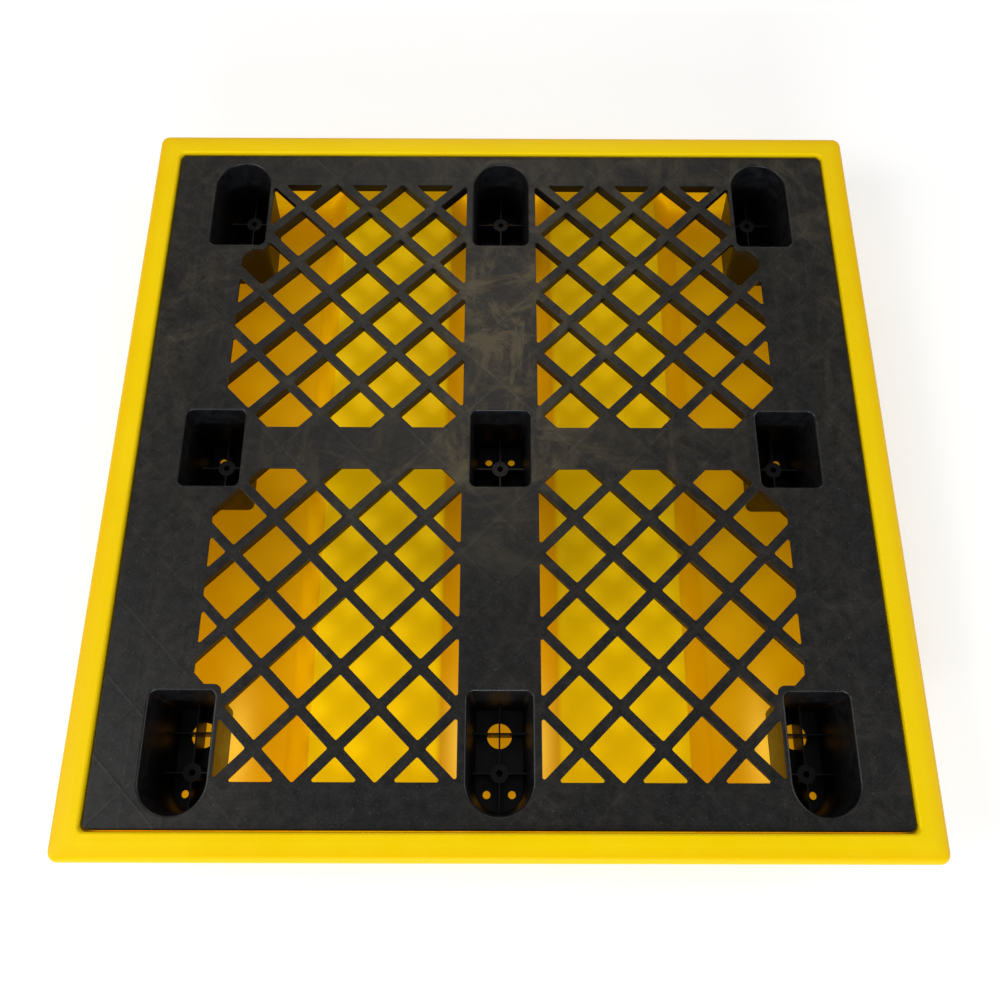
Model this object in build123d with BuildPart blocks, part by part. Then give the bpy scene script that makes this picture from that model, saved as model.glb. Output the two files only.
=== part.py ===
from build123d import *

import os

# Spill containment pallet: a square polyethylene sump with a nine-leg pallet standing in it.
# Millimetres. The origin is the centre of the footprint on the ground, +X is to the right,
# +Y to the back and +Z up. The fork openings face -Y and +Y.

# ---- driving dimensions: the pallet's deck -----------------------------------------------
deck_side = 1219.0  # 48 in square load deck
deck_corner = 9.0
deck_edge_round = 2.5
deck_skin = 4.5
deck_depth = 33.0  # the skin and the ribs under it
rib_wide = 4.0
skirt_wide = 5.0
half_pitch = 61.7  # half the diagonal of one cell of the diamond lattice
bar_wide = 16.4
hole_corner = 3.0
hole_edge_round = 1.2
spine_half = 64.0  # half width of the solid spine along the middle
band_half = 38.0  # half width of the solid bands across the middle
field_x = 472.0  # outer limits of the open lattice
field_y = 542.0
grille_margin = 2.0
notch_round = 11.0  # where the lattice runs round a corner leg
joint_in_leg = 3.0  # how far the regions' borders lie inside the edge of a leg's hollow

# ---- driving dimensions: the legs --------------------------------------------------------
leg_x = 486.0
boss_y = 521.5  # boss of the front and back legs
leg_high = 140.0
leg_wall = 4.5
leg_floor = 4.5
mouth_half = 50.5  # half width of a leg's hollow at the deck
sole_half = 39.0  # the same at the leg's floor
mouth_corner = 11.0
sole_corner = 6.0
round_end_y = 18.0  # centre of the round end, measured from the boss
flat_mouth_y = 114.0  # flat end of the hollow at the deck, measured from the boss
flat_sole_y = 104.0
middle_mouth_y = 69.5  # half length of a middle leg's hollow at the deck
middle_sole_y = 58.5
lip_round = 4.0
sole_round = 4.0
leg_rib = 2.6
leg_rib_drop = 94.0  # from the deck down to the tops of the leg ribs and the boss
second_rib_y = 61.5
boss_across = 29.0
boss_hole = 10.0
boss_hole_deep = 34.0
drain_across = 41.0
drain_y = 62.5
weep_across = 12.5
weep_x = 20.5
weep_y = 30.0
ring_x = 58.5  # deck left solid around a leg, measured from the leg's middle
ring_mouth_y = 124.0  # the same beyond a flat end, measured from the boss

# ---- driving dimensions: the sump --------------------------------------------------------
sump_wall = 6.0
sump_side = 1309.0  # outside of the rim
sump_corner = 16.0
rim_above_deck = 5.7
rim_skirt = 30.0
rim_wall = 5.0
rim_roll = 11.0
rim_inner_round = 4.0
rim_fall = 3.0  # how far the crowned rim falls from its inner edge to its outer edge
mouth_side = 1225.0  # opening of the sump at the rim
mouth_round = 10.0
pan_side = 1214.0  # the same at the sump's floor
pan_corner = 16.0
pan_round = 14.0
foot_round = 8.0
stand_gap = 0.3  # left between a leg's sole and the sump's floor
tunnel_inner_x = 97.0  # shoulders of the raised fork tunnels
tunnel_outer_x = 302.0
tunnel_inner_foot = 58.0
tunnel_outer_foot = 347.0
tunnel_drop = 80.0  # from the deck down to the tunnels' tops
tunnel_inner_round = 18.0
tunnel_outer_round = 5.0
tunnel_foot_round = 12.0

# ---- heights and lengths worked out from them --------------------------------------------
deck_top = sump_wall + stand_gap + leg_high
skin_under = deck_top - deck_skin
deck_under = deck_top - deck_depth
sump_top = deck_top + rim_above_deck
tunnel_top = deck_top - tunnel_drop
leg_rib_top = deck_top - leg_rib_drop
leg_bottom = deck_top - leg_high
sole_top = leg_bottom + leg_floor
cell_pitch = half_pitch * 2**0.5
hole_side = cell_pitch - bar_wide
half_deck = deck_side / 2
ring_edge_x = leg_x - ring_x
ring_edge_y = boss_y - ring_mouth_y

column_x = {"left": -leg_x, "centre": 0.0, "right": leg_x}
row_y = {"front": -boss_y, "middle": 0.0, "back": boss_y}

os.makedirs("parts", exist_ok=True)


def save(piece, label):
    piece.label = label
    export_step(piece, f"parts/{label}.step")


# ---- the legs ----------------------------------------------------------------------------
def leg_place(row, column):
    """Plane of one leg on the ground, its origin under the boss and its flat end towards -Y."""
    turn = -1 if row == "front" else 1
    return Plane(origin=(column_x[column], row_y[row], 0), x_dir=(turn, 0, 0), z_dir=(0, 0, 1))


def leg_outline(row, half_wide, flat_y, corner):
    """Outline of a leg: a rounded rectangle in the middle row, else a D with a round outer end."""
    if row == "middle":
        RectangleRounded(2 * half_wide, 2 * flat_y, corner)
        return
    with Locations((0, (round_end_y - flat_y) / 2)):
        body = Rectangle(2 * half_wide, round_end_y + flat_y)
    fillet(body.vertices().group_by(Axis((0, 0, 0), (0, 1, 0)))[0], corner)
    with Locations((0, round_end_y)):
        Circle(half_wide)


def leg_solid(row, column, bottom, grow):
    """Drafted solid from the deck's top down to bottom, grow outside the leg's hollow."""
    place = leg_place(row, column)
    mouth_y = middle_mouth_y if row == "middle" else flat_mouth_y
    sole_y = middle_sole_y if row == "middle" else flat_sole_y
    with BuildPart() as blank:
        with BuildSketch(place.offset(deck_top)):
            leg_outline(row, mouth_half + grow, mouth_y + grow, mouth_corner + grow)
        with BuildSketch(place.offset(bottom)):
            leg_outline(row, sole_half + grow, sole_y + grow, sole_corner + grow)
        loft(ruled=True)
    return blank.part


def build_leg(row, column):
    """One leg of the pallet: a drafted cup with cross ribs, a blind boss and drain holes."""
    place = leg_place(row, column)
    end_leg = row != "middle"

    # The ribs and the boss are cut from the leg's hollow, so they stay standing in the leg.
    with BuildPart() as hollow:
        add(leg_solid(row, column, sole_top, 0))
        with BuildSketch(place.offset(leg_rib_top)):
            Rectangle(leg_rib, 3 * flat_mouth_y)
            Rectangle(3 * mouth_half, leg_rib)
            Circle(boss_across / 2)
            if end_leg:
                with Locations((0, -second_rib_y)):
                    Rectangle(3 * mouth_half, leg_rib)
        extrude(amount=-(leg_rib_top - sole_top + 1), mode=Mode.SUBTRACT)
        with BuildSketch(place.offset(leg_rib_top + 1)):
            Circle(boss_hole / 2)
        extrude(amount=-(boss_hole_deep + 1))

    with BuildPart() as leg:
        add(leg_outer[row, column])
        fillet(leg.faces().sort_by(Axis.Z)[0].edges(), sole_round)
        add(hollow.part, mode=Mode.SUBTRACT)
        with BuildSketch(place.offset(sole_top + 1)):
            with Locations((-weep_x, weep_y), (weep_x, weep_y)):
                Circle(weep_across / 2)
            if end_leg:
                with Locations((0, -drain_y)):
                    Circle(drain_across / 2)
                with Locations((0, -second_rib_y)):
                    Rectangle(drain_across, leg_rib, mode=Mode.SUBTRACT)
                Rectangle(leg_rib, 3 * flat_mouth_y, mode=Mode.SUBTRACT)
        extrude(amount=-(leg_floor + 2), mode=Mode.SUBTRACT)
        mouth = leg.faces().sort_by(Axis.Z)[-1].inner_wires()[0]
        fillet(mouth.edges(), lip_round)
    return leg.part


leg_outer = {
    (row, column): leg_solid(row, column, leg_bottom, leg_wall) for row in row_y for column in column_x
}
for row, column in leg_outer:
    save(build_leg(row, column), f"leg_{row}_{column}")


# ---- the deck ----------------------------------------------------------------------------
def left_solid(x, y):
    """Cells that stay closed: those centred on the cross bands and those beside a middle leg."""
    return abs(y) < band_half or (abs(x) > field_x and abs(y) < 2 * half_pitch)


def at_notch(vertex):
    return abs(abs(vertex.X) - ring_edge_x) < 0.01 and abs(abs(vertex.Y) - ring_edge_y) < 0.01


steps = range(-10, 11)
lattice_cells = [(i * half_pitch, j * half_pitch) for i in steps for j in steps if (i + j) % 2]
hole_cells = [(x, y) for x, y in lattice_cells if not left_solid(x, y)]

# The four fields of open lattice, drawn back where the deck runs round the corner legs.
with BuildSketch(Plane.XY.offset(deck_top)) as fields:
    with GridLocations(field_x + spine_half, field_y + band_half, 2, 2):
        Rectangle(field_x - spine_half, field_y - band_half)
    with GridLocations(2 * ring_edge_x + 400, 2 * ring_edge_y + 400, 2, 2):
        Rectangle(400, 400, mode=Mode.SUBTRACT)

with BuildSketch(Plane.XY.offset(deck_top)) as holes:
    with Locations(*hole_cells):
        Rectangle(hole_side, hole_side, rotation=45)
    add(fields.sketch, mode=Mode.INTERSECT)
    notches = holes.vertices().filter_by(at_notch)
    fillet(holes.vertices() - notches, hole_corner)
    fillet(holes.vertices().filter_by(at_notch), notch_round)

with BuildPart() as skin:
    with BuildSketch(Plane.XY.offset(deck_top)):
        RectangleRounded(deck_side, deck_side, deck_corner)
        add(holes.sketch, mode=Mode.SUBTRACT)
    extrude(amount=-deck_skin)
    top = skin.faces().sort_by(Axis.Z)[-1]
    fillet(ShapeList(e for w in top.inner_wires() for e in w.edges()), hole_edge_round)
    top = skin.faces().sort_by(Axis.Z)[-1]
    fillet(top.outer_wire().edges(), deck_edge_round)

with BuildPart() as ribs:
    with BuildSketch(Plane.XY.offset(skin_under)):
        RectangleRounded(deck_side, deck_side, deck_corner)
        with Locations(*lattice_cells):
            Rectangle(cell_pitch - rib_wide, cell_pitch - rib_wide, rotation=45, mode=Mode.SUBTRACT)
        for across in (8 * half_pitch, 9 * half_pitch):
            with Locations((-across, 0), (across, 0)):
                Rectangle(rib_wide, deck_side - skirt_wide)
        with Locations((0, -9 * half_pitch), (0, 9 * half_pitch)):
            Rectangle(deck_side - skirt_wide, rib_wide)
    extrude(amount=-(deck_depth - deck_skin))
    with BuildSketch(Plane.XY.offset(skin_under)):
        RectangleRounded(deck_side, deck_side, deck_corner)
        inside = deck_side - 2 * skirt_wide
        RectangleRounded(inside, inside, deck_corner - skirt_wide, mode=Mode.SUBTRACT)
    extrude(amount=-(deck_depth - deck_skin))

with BuildPart() as deck:
    add(skin.part)
    add(ribs.part)
    for solid in leg_outer.values():
        add(solid, mode=Mode.SUBTRACT)


def zone(*rectangles):
    """Part of the deck inside the union of plan rectangles (low x, low y, high x, high y)."""
    with BuildPart() as piece:
        with BuildSketch(Plane.XY.offset(deck_top + 1)):
            for low_x, low_y, high_x, high_y in rectangles:
                with Locations(((low_x + high_x) / 2, (low_y + high_y) / 2)):
                    Rectangle(high_x - low_x, high_y - low_y)
        extrude(amount=-(deck_depth + 2))
        add(deck.part, mode=Mode.INTERSECT)
    return piece.part


# A grille keeps a narrow margin of solid deck round its lattice and reaches out to the legs. The
# rails and the side panels between the legs close the deck's border. The deck is the same in all
# four quarters, so its regions are mirrored.
far = half_deck + 1
spine_x = spine_half - grille_margin
rail_y = field_y + grille_margin
band_y = band_half - grille_margin
spine_y = boss_y + round_end_y
panel_low_x = leg_x - mouth_half + joint_in_leg
panel_high_x = leg_x + mouth_half - joint_in_leg
panel_low_y = middle_mouth_y - joint_in_leg
panel_high_y = boss_y - flat_mouth_y + joint_in_leg
save(zone((-spine_x, -spine_y, spine_x, spine_y)), "centre_spine")
back_rail = zone((-far, rail_y, far, far), (-spine_x, spine_y, spine_x, rail_y))
save(back_rail, "back_rail")
save(mirror(back_rail, about=Plane.XZ), "front_rail")
right_rail = zone((panel_high_x, -rail_y, far, rail_y))
right_band = zone((spine_x, -band_y, panel_low_x, band_y))
grille = zone((spine_x, band_y, panel_low_x, rail_y))
panel = zone((panel_low_x, panel_low_y, panel_high_x, panel_high_y))
right_side = {
    "{}_rail": right_rail,
    "cross_band_{}": right_band,
    "grille_back_{}": grille,
    "grille_front_{}": mirror(grille, about=Plane.XZ),
    "side_panel_back_{}": panel,
    "side_panel_front_{}": mirror(panel, about=Plane.XZ),
}
for name, region in right_side.items():
    save(region, name.format("right"))
    save(mirror(region, about=Plane.YZ), name.format("left"))


# ---- the sump ----------------------------------------------------------------------------
def tunnel_section(foot_flare):
    """Cross-section of the right raised fork tunnel, its foot flared into the sump's floor."""
    foot = sump_wall
    base = -sump_wall
    inner = tunnel_inner_foot
    outer = tunnel_outer_foot
    with BuildSketch(Plane.XZ) as section:
        with BuildLine():
            Polyline(
                (inner - foot_flare, base),
                (inner - foot_flare, foot),
                (inner, foot),
                (tunnel_inner_x, tunnel_top),
                (tunnel_outer_x, tunnel_top),
                (outer, foot),
                (outer + foot_flare, foot),
                (outer + foot_flare, base),
                close=True,
            )
        make_face()
        fillet(section.vertices().group_by(Axis.Y)[-1].sort_by(Axis.X)[0], tunnel_inner_round)
        fillet(section.vertices().group_by(Axis.Y)[-1].sort_by(Axis.X)[-1], tunnel_outer_round)
        feet = section.vertices().filter_by(lambda v: abs(v.Y - foot) < 0.01 and inner - 1 < v.X < outer + 1)
        fillet(feet, tunnel_foot_round)
    return section.sketch


def fork_room_section():
    """Cross-section of the room under the right tunnel, one wall thickness inside it."""
    rise = tunnel_top - sump_wall
    inner_slope = (tunnel_inner_x - tunnel_inner_foot) / rise
    outer_slope = (tunnel_outer_foot - tunnel_outer_x) / rise
    below = 3 * sump_wall
    with BuildSketch(Plane.XZ) as section:
        with BuildLine():
            Polyline(
                (tunnel_inner_foot - inner_slope * below, sump_wall - below),
                (tunnel_inner_x, tunnel_top),
                (tunnel_outer_x, tunnel_top),
                (tunnel_outer_foot + outer_slope * below, sump_wall - below),
                close=True,
            )
        make_face()
        fillet(section.vertices().group_by(Axis.Y)[-1].sort_by(Axis.X)[0], tunnel_inner_round)
        fillet(section.vertices().group_by(Axis.Y)[-1].sort_by(Axis.X)[-1], tunnel_outer_round + sump_wall)
        offset(amount=-sump_wall)
    return section.sketch


with BuildPart() as tunnels:
    extrude(tunnel_section(20.0), amount=sump_side / 2, both=True)
    mirror(about=Plane.YZ)

with BuildPart() as fork_rooms:
    extrude(fork_room_section(), amount=sump_side / 2, both=True)
    mirror(about=Plane.YZ)

# The room inside the sump, down to its floor and around the raised tunnels.
with BuildPart() as room:
    with BuildSketch(Plane.XY.offset(sump_top)):
        RectangleRounded(mouth_side, mouth_side, mouth_round)
    with BuildSketch(Plane.XY.offset(sump_wall)):
        RectangleRounded(pan_side, pan_side, pan_corner)
    loft(ruled=True)
    fillet(room.faces().sort_by(Axis.Z)[0].edges(), pan_round)
    add(tunnels.part, mode=Mode.SUBTRACT)

# The rim: a crowned band with a rolled outer edge and a skirt turned down outside.
skirt_bottom = sump_top - rim_skirt
crown_start = mouth_side / 2 + rim_inner_round + 1
crown_steps = 4
crown_edge = sump_top - rim_fall


def crown_ring(step):
    """Half side, corner radius and height of one outline of the crowned rim, from inside out."""
    share = step / crown_steps
    half = crown_start + share * (sump_side / 2 - crown_start)
    corner = mouth_round + share * (sump_corner - mouth_round)
    return half, corner, sump_top - rim_fall * share**2


with BuildPart() as rim:
    with BuildSketch(Plane.XY.offset(skirt_bottom)):
        RectangleRounded(sump_side, sump_side, sump_corner)
    extrude(amount=rim_skirt - rim_fall)
    for step in range(crown_steps):
        for half, corner, height in (crown_ring(step + 1), crown_ring(step)):
            with BuildSketch(Plane.XY.offset(height)):
                RectangleRounded(2 * half, 2 * half, corner)
        loft(ruled=True)
    fillet(rim.edges().filter_by_position(Axis.Z, crown_edge - 0.1, crown_edge + 0.1), rim_roll)
    with BuildSketch(Plane.XY.offset(skirt_bottom)):
        inside = sump_side - 2 * rim_wall
        RectangleRounded(inside, inside, sump_corner - rim_wall)
    extrude(amount=crown_edge - sump_wall - skirt_bottom, mode=Mode.SUBTRACT)

with BuildPart() as sump:
    with BuildSketch(Plane.XY.offset(crown_edge - 1)):
        side = mouth_side + 2 * sump_wall
        RectangleRounded(side, side, mouth_round + sump_wall)
    with BuildSketch():
        side = pan_side + 2 * sump_wall
        RectangleRounded(side, side, pan_corner + sump_wall)
    loft(ruled=True)
    fillet(sump.faces().sort_by(Axis.Z)[0].edges(), foot_round)
    add(rim.part)
    add(room.part, mode=Mode.SUBTRACT)
    add(fork_rooms.part, mode=Mode.SUBTRACT)
    brim = sump.faces().filter_by(Axis.Z).sort_by(Axis.Z)[-1]
    fillet(brim.inner_wires()[0].edges(), rim_inner_round)
save(sump.part, "sump_tray")
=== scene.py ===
import math
import random

import bmesh
import bpy
from mathutils import Matrix, Vector


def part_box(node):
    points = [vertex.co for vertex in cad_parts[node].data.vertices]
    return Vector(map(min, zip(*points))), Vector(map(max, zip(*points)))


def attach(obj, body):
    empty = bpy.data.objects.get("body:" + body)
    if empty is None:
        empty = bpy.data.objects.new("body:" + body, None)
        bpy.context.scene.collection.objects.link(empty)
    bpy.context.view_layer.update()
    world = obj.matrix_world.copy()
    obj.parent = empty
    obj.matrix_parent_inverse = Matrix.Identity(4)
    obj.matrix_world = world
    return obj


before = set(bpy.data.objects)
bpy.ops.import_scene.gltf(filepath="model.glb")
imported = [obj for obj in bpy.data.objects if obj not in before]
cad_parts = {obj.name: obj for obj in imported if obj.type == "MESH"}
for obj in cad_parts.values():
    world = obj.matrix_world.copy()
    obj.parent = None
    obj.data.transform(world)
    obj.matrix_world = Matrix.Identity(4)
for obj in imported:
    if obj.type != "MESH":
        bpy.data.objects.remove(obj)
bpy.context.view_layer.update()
scene = bpy.context.scene
scene.view_settings.view_transform = "Standard"
random.seed(48)

# ---- sizes, in metres ----------------------------------------------------------------------
MM = 0.001
DECK_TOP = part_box("centre_spine")[1].z
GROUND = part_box("sump_tray")[0].z

HALF_PITCH = 61.7 * MM  # half the diagonal of one cell of the deck's lattice
BAR = 16.4 * MM  # width of a lattice bar
HALF_HOLE = (HALF_PITCH * 2**0.5 - BAR) / 2
RIB = 4.0 * MM
LEG_FLOOR = 4.5 * MM  # thickness of the floor of a leg
SPINE_EDGE = 62 * MM  # the deck is solid inside this along X
BAND_EDGE = 36 * MM  # and inside this along Y
SIDE_EDGE = 474 * MM  # and outside this along X
END_EDGE = 544 * MM  # and outside this along Y

ROOM_EDGE = 608 * MM  # inner walls of the sump
TUNNEL_TOP_LOW = 50 * MM  # the tops of the tunnels are above this
RIM_TURN = 630 * MM  # where the rim's top starts to turn down

# ---- colours -------------------------------------------------------------------------------
YELLOW = (0.84, 0.580, 0.0, 1)
YELLOW_DEEP = (0.81, 0.540, 0.0, 1)
YELLOW_PALE = (0.88, 0.625, 0.01, 1)
# Painted shade on the rim's outer roll, where it turns down.
RIM_SHADE_AMBER = (0.78, 0.43, 0.0, 1)
# Painted glow inside the sump's room: emission colours standing in for light, not a lamp.
PAINTED_GLOW_LOW = (0.32, 0.13, 0.0, 1)
PAINTED_GLOW_HIGH = (0.41, 0.225, 0.0, 1)
PAINTED_GLOW_BRIGHT = (0.42, 0.25, 0.025, 1)

BLACK = (0.0020, 0.0020, 0.0025, 1)
BLACK_WORN = (0.0085, 0.0085, 0.009, 1)
SCUFF_GREY = (0.022, 0.0215, 0.020, 1)
PIT_GREY = (0.030, 0.029, 0.027, 1)
# Brown dust mixed with a painted sheen on the deck.
DUST_AND_SHEEN_BROWN = (0.070, 0.055, 0.030, 1)
SINK_GREY = (0.060, 0.055, 0.046, 1)
SPECK_PALE = (0.14, 0.13, 0.12, 1)


# ---- node helpers --------------------------------------------------------------------------
class Nodes:
    """Short way to write one material's node tree, in the frame's own coordinates."""

    def __init__(self, name):
        self.material = bpy.data.materials.new(name)
        self.material.use_nodes = True
        self.tree = self.material.node_tree
        self.shader = self.tree.nodes["Principled BSDF"]
        self.coords = self.add("ShaderNodeTexCoord").outputs["Object"]

    def add(self, kind, **values):
        node = self.tree.nodes.new(kind)
        for key, value in values.items():
            setattr(node, key, value)
        return node

    def put(self, socket, value):
        if isinstance(value, bpy.types.NodeSocket):
            self.tree.links.new(value, socket)
        else:
            socket.default_value = value

    def math(self, operation, a, b=0.0, clamp=False):
        node = self.add("ShaderNodeMath", operation=operation, use_clamp=clamp)
        self.put(node.inputs[0], a)
        self.put(node.inputs[1], b)
        return node.outputs[0]

    def fold(self, operation, values):
        result = values[0]
        for value in values[1:]:
            result = self.math(operation, result, value)
        return result

    def plus(self, *values):
        return self.fold("ADD", values)

    def times(self, *values):
        return self.fold("MULTIPLY", values)

    def most(self, *values):
        return self.fold("MAXIMUM", values)

    def size(self, value):
        return self.math("ABSOLUTE", value)

    def noise(self, scale, detail=3.0, roughness=0.5, stretch=(1, 1, 1), shift=0.0, warp=0.0):
        mapping = self.add("ShaderNodeMapping")
        self.put(mapping.inputs["Vector"], self.coords)
        mapping.inputs["Scale"].default_value = stretch
        mapping.inputs["Location"].default_value = (shift, shift, shift)
        node = self.add("ShaderNodeTexNoise")
        self.put(node.inputs["Vector"], mapping.outputs[0])
        node.inputs["Scale"].default_value = scale
        node.inputs["Detail"].default_value = detail
        node.inputs["Roughness"].default_value = roughness
        node.inputs["Distortion"].default_value = warp
        return node.outputs["Fac"]

    def range(self, value, low, high, to_low=0.0, to_high=1.0):
        node = self.add("ShaderNodeMapRange")
        self.put(node.inputs["Value"], value)
        node.inputs["From Min"].default_value = low
        node.inputs["From Max"].default_value = high
        node.inputs["To Min"].default_value = to_low
        node.inputs["To Max"].default_value = to_high
        return node.outputs[0]

    def mix(self, share, a, b):
        node = self.add("ShaderNodeMix", data_type="RGBA")
        self.put(node.inputs[0], share)
        self.put(node.inputs[6], a)
        self.put(node.inputs[7], b)
        return node.outputs[2]

    def bump(self, height, distance, strength=0.5, normal=None):
        node = self.add("ShaderNodeBump")
        node.inputs["Distance"].default_value = distance
        node.inputs["Strength"].default_value = strength
        self.put(node.inputs["Height"], height)
        if normal is not None:
            self.put(node.inputs["Normal"], normal)
        return node.outputs[0]

    def axes(self):
        node = self.add("ShaderNodeSeparateXYZ")
        self.put(node.inputs[0], self.coords)
        return node.outputs

    def facing_up(self, low=0.7, high=0.95):
        node = self.add("ShaderNodeSeparateXYZ")
        self.put(node.inputs[0], self.add("ShaderNodeNewGeometry").outputs["Normal"])
        return self.range(node.outputs[2], low, high)

    def patch(self, x, y, centre, radii, height):
        """Soft elliptical patch, highest at its centre."""
        dx = self.math("DIVIDE", self.math("SUBTRACT", x, centre[0]), radii[0])
        dy = self.math("DIVIDE", self.math("SUBTRACT", y, centre[1]), radii[1])
        away = self.plus(self.times(dx, dx), self.times(dy, dy))
        return self.times(self.math("EXPONENT", self.times(away, -1.0)), height)


# ---- materials -----------------------------------------------------------------------------
def painted_sump_glow(n, x, y, z, from_middle):
    """Painted glow of the sump's walls inside its room, an emission standing in for light: its
    colour and its strength.

    It is yellow on the tops of the tunnels and the back wall and orange lower down, with painted
    highlights in the front corners of the channels and painted shade in a band near the middle.
    """
    inside = n.times(n.range(from_middle, ROOM_EDGE + 8 * MM, ROOM_EDGE), n.facing_up(0.0, 0.03))
    below_rim = n.range(z, 140 * MM, 100 * MM)
    tunnel_tops = n.times(n.facing_up(), n.range(z, TUNNEL_TOP_LOW, TUNNEL_TOP_LOW + 12 * MM))
    back_wall = n.range(y, 560 * MM, 600 * MM)
    # Painted highlights: bright patches of glow in the front corners of the channels.
    painted_highlights = n.plus(
        n.patch(n.size(x), y, (66 * MM, -480 * MM), (22 * MM, 100 * MM), 0.7),
        n.patch(n.size(x), y, (436 * MM, -480 * MM), (30 * MM, 90 * MM), 0.7),
    )
    colour = n.mix(n.most(tunnel_tops, back_wall), PAINTED_GLOW_LOW, PAINTED_GLOW_HIGH)
    colour = n.mix(painted_highlights, colour, PAINTED_GLOW_BRIGHT)

    # Painted shade: a darker band across the room just in front of the middle, and painted light
    # falling off from front to back and from left to right.
    shaded = n.patch(x, y, (0, -130 * MM), (2.0, 150 * MM), 0.4)
    towards_front = n.math("SUBTRACT", n.range(y, -550 * MM, 550 * MM, 1.5, 0.7), shaded)
    towards_left = n.range(x, -500 * MM, 500 * MM, 1.1, 0.84)
    strength = n.plus(n.most(n.times(towards_front, towards_left), back_wall), painted_highlights)
    return colour, n.times(strength, inside, below_rim)


def yellow_polyethylene():
    """Sump: bright moulded polyethylene with a soft orange-peel skin and faint scuffs, painted
    shade on the rim's outer roll and a painted glow inside its room.
    """
    n = Nodes("sump_polyethylene")
    x, y, z = n.axes()
    from_middle = n.most(n.size(x), n.size(y))
    mottle = n.noise(14.0, 4.0, 0.6)
    grain = n.noise(900.0, 2.0, 0.6)
    peel = n.noise(160.0, 2.0, 0.5)
    scuff = n.range(n.noise(7.0, 6.0, 0.75, (1, 6, 1), 3.1), 0.62, 0.74)

    colour = n.mix(n.range(n.noise(2.2, 2.0), 0.35, 0.65), YELLOW_DEEP, YELLOW)
    colour = n.mix(n.range(mottle, 0.45, 0.75, 0.0, 0.25), colour, YELLOW_PALE)
    colour = n.mix(n.times(scuff, 0.18), colour, YELLOW_PALE)
    # Painted shade: amber towards the rim's outer roll stands in for shade where the rim turns
    # down.
    painted_rim_shade = n.range(from_middle, RIM_TURN, RIM_TURN + 20 * MM, 0.0, 0.55)
    n.put(n.shader.inputs["Base Color"], n.mix(painted_rim_shade, colour, RIM_SHADE_AMBER))
    rough = n.plus(n.range(mottle, 0.3, 0.7, 0.36, 0.46), n.times(scuff, 0.12))
    n.put(n.shader.inputs["Roughness"], rough)

    # Painted glow: emission standing in for the light inside the room.
    glow, strength = painted_sump_glow(n, x, y, z, from_middle)
    n.put(n.shader.inputs["Emission Color"], glow)
    n.put(n.shader.inputs["Emission Strength"], strength)

    normal = n.bump(peel, 0.25 * MM)
    normal = n.bump(grain, 0.06 * MM, normal=normal)
    n.put(n.shader.inputs["Normal"], normal)
    n.shader.inputs["Specular IOR Level"].default_value = 0.2
    n.shader.inputs["Specular Tint"].default_value = (1.0, 0.85, 0.35, 1)
    return n.material


def solid_deck(n, x, y):
    """One where the deck has no holes, zero over the lattice."""
    soft = 2 * MM
    return n.most(
        n.range(n.size(x), SPINE_EDGE + soft, SPINE_EDGE - soft),
        n.range(n.size(y), BAND_EDGE + soft, BAND_EDGE - soft),
        n.range(n.size(x), SIDE_EDGE - soft, SIDE_EDGE + soft),
        n.range(n.size(y), END_EDGE - soft, END_EDGE + soft),
    )


def rib_marks(n, x, y):
    """Faint lines where the ribs under the skin draw the surface in as the plastic cools."""
    turns = []
    for combine in ("ADD", "SUBTRACT"):
        turn = n.math("DIVIDE", n.math(combine, x, y), 2 * HALF_PITCH)
        turns.append(n.size(n.math("SUBTRACT", turn, n.math("ROUND", turn))))
    lines = [n.range(away, 0.008, 0.034, 1.0, 0.0) for away in turns]
    for value, count in ((x, 8), (x, 9), (y, 9)):
        away = n.size(n.math("SUBTRACT", n.size(value), count * HALF_PITCH))
        lines.append(n.range(away, 0.3 * RIB, 1.0 * RIB, 0.6, 0.0))

    # On a lattice bar the line only shows near a crossing, where most plastic meets.
    crossing = n.range(n.most(*turns), 0.06, 0.2, 1.0, 0.15)
    return n.times(n.most(*lines), n.most(solid_deck(n, x, y), crossing))


def dust_and_painted_sheen(n, x, y, streaks, broad, fine):
    """Share of brown dust and painted sheen: most on the spine behind the middle, on the cross
    bands' middle and towards the back.
    """
    share = n.plus(
        n.patch(x, y, (0, 200 * MM), (90 * MM, 200 * MM), 1.0),
        n.patch(x, y, (-90 * MM, 0), (330 * MM, 120 * MM), 0.8),
        n.range(y, -100 * MM, 600 * MM, 0.08, 0.42),
    )
    smears = n.range(n.most(*streaks), 0.48, 0.70, 0.1, 1.5)
    patchy = n.range(broad, 0.38, 0.62, 0.35, 1.25)
    grainy = n.range(fine, 0.3, 0.7, 0.7, 1.3)
    return n.times(share, smears, patchy, grainy)


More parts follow.
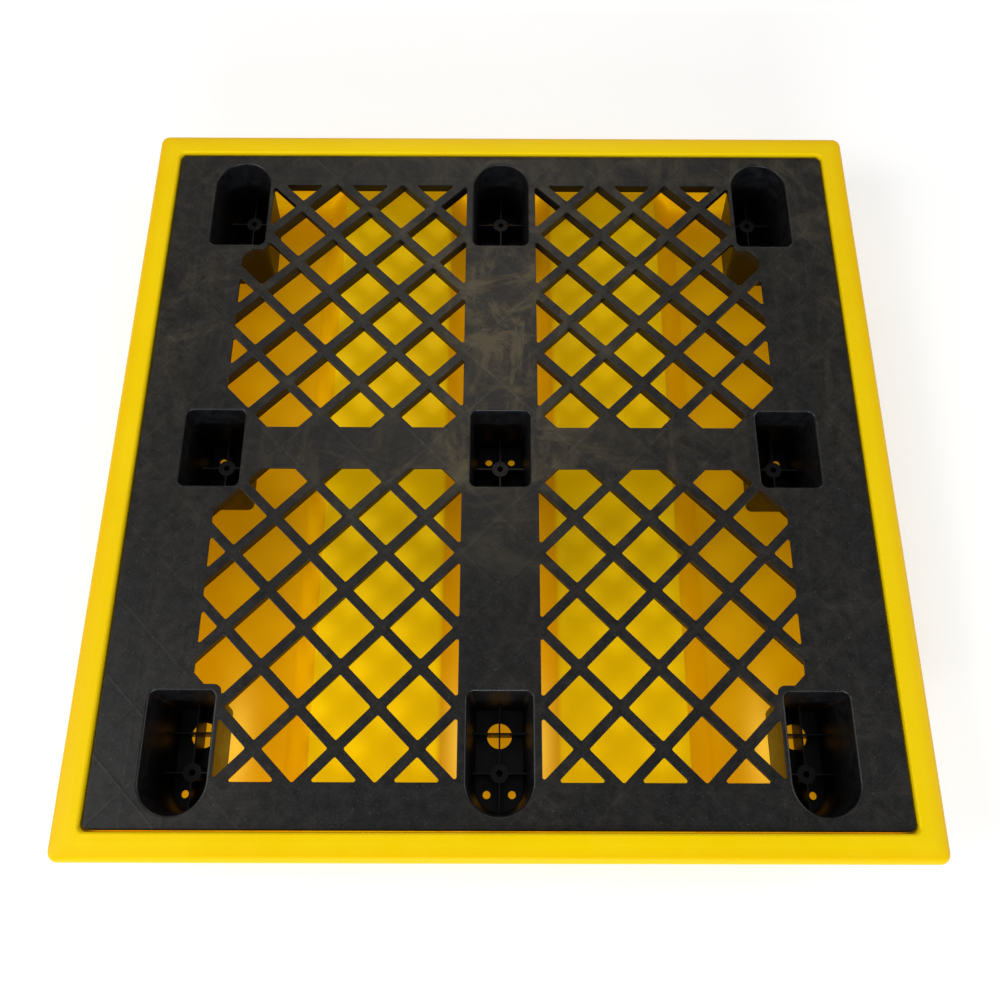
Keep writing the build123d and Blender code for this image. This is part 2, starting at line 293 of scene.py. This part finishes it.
def black_polyethylene():
    """Pallet: charcoal moulded plastic, dusty and scuffed on its deck, with a painted sheen in the
    dust and rib sink marks.
    """
    n = Nodes("pallet_polyethylene")
    x, y, z = n.axes()
    up = n.times(n.facing_up(), n.range(z, DECK_TOP - 6 * MM, DECK_TOP - 2 * MM))
    marks = n.times(rib_marks(n, x, y), up)
    broad = n.noise(3.0, 4.0, 0.6)
    streak = n.noise(7.0, 8.0, 0.72, (1, 1.8, 1), 1.7, 0.8)
    cross_streak = n.noise(7.0, 8.0, 0.72, (2.6, 1, 1), 5.2, 0.8)
    fine = n.noise(60.0, 5.0, 0.7)
    grain = n.noise(1400.0, 2.0, 0.5)
    skin = n.noise(220.0, 3.0, 0.6)
    pits = n.range(n.noise(480.0, 2.0, 0.6), 0.5, 0.72, 0.0, 0.35)
    specks = n.range(n.noise(420.0, 1.0, 0.4), 0.73, 0.78)
    # Dust mixed with a painted sheen: brown on the spine and the cross bands, more towards the
    # back.
    dust_and_sheen = dust_and_painted_sheen(n, x, y, (streak, cross_streak), broad, fine)
    dust_and_sheen = n.math("MULTIPLY", dust_and_sheen, up, clamp=True)

    colour = n.mix(n.range(fine, 0.35, 0.68), BLACK, BLACK_WORN)
    colour = n.mix(n.times(n.range(streak, 0.55, 0.8, 0.0, 0.5), up), colour, SCUFF_GREY)
    colour = n.mix(n.times(pits, up), colour, PIT_GREY)
    colour = n.mix(dust_and_sheen, colour, DUST_AND_SHEEN_BROWN)
    colour = n.mix(n.times(marks, n.plus(n.times(dust_and_sheen, 0.55), 0.08)), colour, SINK_GREY)
    colour = n.mix(n.times(specks, up, 0.4), colour, SPECK_PALE)
    n.put(n.shader.inputs["Base Color"], colour)

    rough = n.plus(n.range(fine, 0.3, 0.7, 0.36, 0.46), n.times(dust_and_sheen, 0.16), n.times(marks, -0.06))
    n.put(n.shader.inputs["Roughness"], rough)
    normal = n.bump(marks, 0.2 * MM)
    normal = n.bump(skin, 0.12 * MM, normal=normal)
    normal = n.bump(grain, 0.05 * MM, normal=normal)
    n.put(n.shader.inputs["Normal"], normal)
    n.shader.inputs["Specular IOR Level"].default_value = 0.3
    return n.material


def pale_floor():
    n = Nodes("studio_floor")
    tone = n.noise(1.5, 2.0)
    colour = n.mix(tone, (0.62, 0.62, 0.62, 1), (0.66, 0.66, 0.66, 1))
    n.put(n.shader.inputs["Base Color"], colour)
    n.shader.inputs["Roughness"].default_value = 0.8
    n.shader.inputs["Emission Color"].default_value = (1, 1, 1, 1)
    n.shader.inputs["Emission Strength"].default_value = 0.42
    return n.material


yellow = yellow_polyethylene()
black = black_polyethylene()
for name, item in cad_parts.items():
    item.data.materials.clear()
    item.data.materials.append(yellow if name == "sump_tray" else black)


# ---- small mouldings the CAD leaves out ----------------------------------------------------
EJECTOR_STEPS = ((3.6 * MM, 0.35 * MM), (2.7 * MM, 0.55 * MM))  # radius and height of each step
MIDDLE_LEG_PINS = ((23, -28), (-30, 40))  # mm from the middle of the leg
END_LEG_PINS = ((23, 38), (-29.6, -57))
BURR_TRIES = 64


def new_object(name, data):
    item = bpy.data.objects.new(name, data)
    scene.collection.objects.link(item)
    return item


def moulded(name, mesh_builder):
    """One mesh of small details in the pallet's own plastic, riding on the pallet."""
    mesh = bpy.data.meshes.new(name)
    work = bmesh.new()
    mesh_builder(work)
    work.to_mesh(mesh)
    work.free()
    mesh.materials.append(black)
    item = new_object(name, mesh)
    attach(item, "pallet")


def ejector_marks(work):
    """Low round witness marks left by the mould's ejector pins in the floors of the legs."""
    for row in ("front", "middle", "back"):
        turn = -1 if row == "front" else 1
        for column in ("left", "centre", "right"):
            low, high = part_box(f"leg_{row}_{column}")
            middle = Vector(((low.x + high.x) / 2, (low.y + high.y) / 2, low.z + LEG_FLOOR))
            for dx, dy in MIDDLE_LEG_PINS if row == "middle" else END_LEG_PINS:
                centre = middle + Vector((turn * dx * MM, turn * dy * MM, 0))
                for radius, height in EJECTOR_STEPS:
                    bmesh.ops.create_cone(
                        work,
                        cap_ends=True,
                        segments=28,
                        radius1=radius,
                        radius2=radius - 0.25 * MM,
                        depth=2 * height,
                        matrix=Matrix.Translation(centre),
                    )


def burrs(work):
    """Slivers of flash left along the upper edges of the lattice's holes."""
    cells = [(i, j) for i in range(-7, 8) for j in range(-8, 9) if (i + j) % 2]
    for i, j in random.sample(cells, BURR_TRIES):
        centre = Vector((i * HALF_PITCH, j * HALF_PITCH))
        if not (100 * MM <= abs(centre.x) <= 400 * MM and 80 * MM <= abs(centre.y) <= 390 * MM):
            continue
        turn = math.radians(45 + 90 * random.randrange(4))
        inward = Vector((math.cos(turn), math.sin(turn)))
        along = Vector((-inward.y, inward.x))
        spot = centre - inward * (HALF_HOLE + 0.2 * MM)
        spot += along * random.uniform(-0.7, 0.7) * HALF_HOLE
        length = random.uniform(1.2, 3.2) * MM
        reach = random.uniform(0.5, 1.4) * MM
        top = DECK_TOP - random.uniform(1.0, 1.8) * MM
        tip = spot + inward * reach + along * 0.3 * length
        corners = [spot - along * length, spot + along * length, tip]
        lower = [work.verts.new((c.x, c.y, top - 0.5 * MM)) for c in corners]
        upper = [work.verts.new((c.x, c.y, top)) for c in corners]
        work.faces.new(upper)
        work.faces.new(lower[::-1])
        for k in range(3):
            following = (k + 1) % 3
            work.faces.new((lower[k], lower[following], upper[following], upper[k]))


moulded("ejector_marks", ejector_marks)
moulded("flash_slivers", burrs)

# ---- stage, light and camera ---------------------------------------------------------------
FLOOR_REACH = 14.0
WORLD_COLOUR = (0.96, 0.98, 1.0, 1)
WORLD_STRENGTH = 0.27

LIGHTS = (  # name, place, Y of the point on the deck that it is aimed at, size, watts, colour
    ("left_softbox", (-3.6, -0.8, 2.9), 0.0, (2.4, 2.4), 120, (1.0, 0.98, 0.95)),
    ("right_softbox", (4.2, 0.2, 2.1), 0.0, (2.4, 2.0), 70, (1.0, 0.98, 0.96)),
    ("front_softbox", (0.0, -4.2, 1.9), 0.0, (3.0, 1.2), 46, (0.90, 0.95, 1.0)),
    ("front_strip", (0.0, -4.0, 1.5), 0.0, (2.6, 0.16), 90, (0.84, 0.92, 1.0)),
    ("back_softbox", (-0.25, 1.4, 2.5), 0.1, (0.8, 0.8), 7, (1.0, 0.93, 0.82)),
    ("back_strip", (0.0, 4.0, 1.6), 0.0, (2.6, 0.16), 26, (1.0, 0.98, 0.94)),
)

CAMERA_RISE = 1.455  # above the deck
CAMERA_BACK = 0.647  # in front of the deck's middle
CAMERA_SIDE = -0.003
CAMERA_DOWN = 69.2
CAMERA_YAW = 0.28
CAMERA_ROLL = 0.45
CAMERA_LENS = 33.96
CAMERA_SENSOR = 36.0


def build_floor():
    mesh = bpy.data.meshes.new("studio_floor")
    signs = ((-1, -1), (1, -1), (1, 1), (-1, 1))
    corners = [(x * FLOOR_REACH, y * FLOOR_REACH, 0) for x, y in signs]
    mesh.from_pydata(corners, [], [(0, 1, 2, 3)])
    mesh.materials.append(pale_floor())
    floor = new_object("studio_floor", mesh)
    floor.location.z = GROUND - 0.2 * MM


def build_light():
    world = bpy.data.worlds.new("studio")
    world.use_nodes = True
    background = world.node_tree.nodes["Background"]
    background.inputs["Color"].default_value = WORLD_COLOUR
    background.inputs["Strength"].default_value = WORLD_STRENGTH
    scene.world = world

    for name, place, aim_y, size, power, colour in LIGHTS:
        data = bpy.data.lights.new(name, "AREA")
        data.shape = "RECTANGLE"
        data.size, data.size_y = size
        data.energy = power
        data.color = colour
        lamp = new_object(name, data)
        lamp.location = place
        aim = Vector((0, aim_y, DECK_TOP)) - Vector(place)
        lamp.rotation_euler = aim.to_track_quat("-Z", "Y").to_euler()


def build_camera():
    data = bpy.data.cameras.new("camera")
    data.lens = CAMERA_LENS
    data.sensor_width = CAMERA_SENSOR
    camera = new_object("camera", data)
    turn = Matrix.Rotation(math.radians(-CAMERA_YAW), 4, "Z")
    tilt = Matrix.Rotation(math.radians(90 - CAMERA_DOWN), 4, "X")
    roll = Matrix.Rotation(math.radians(CAMERA_ROLL), 4, "Z")
    place = Matrix.Translation((CAMERA_SIDE, -CAMERA_BACK, DECK_TOP + CAMERA_RISE))
    camera.matrix_world = place @ turn @ tilt @ roll
    scene.camera = camera


build_floor()
build_light()
build_camera()
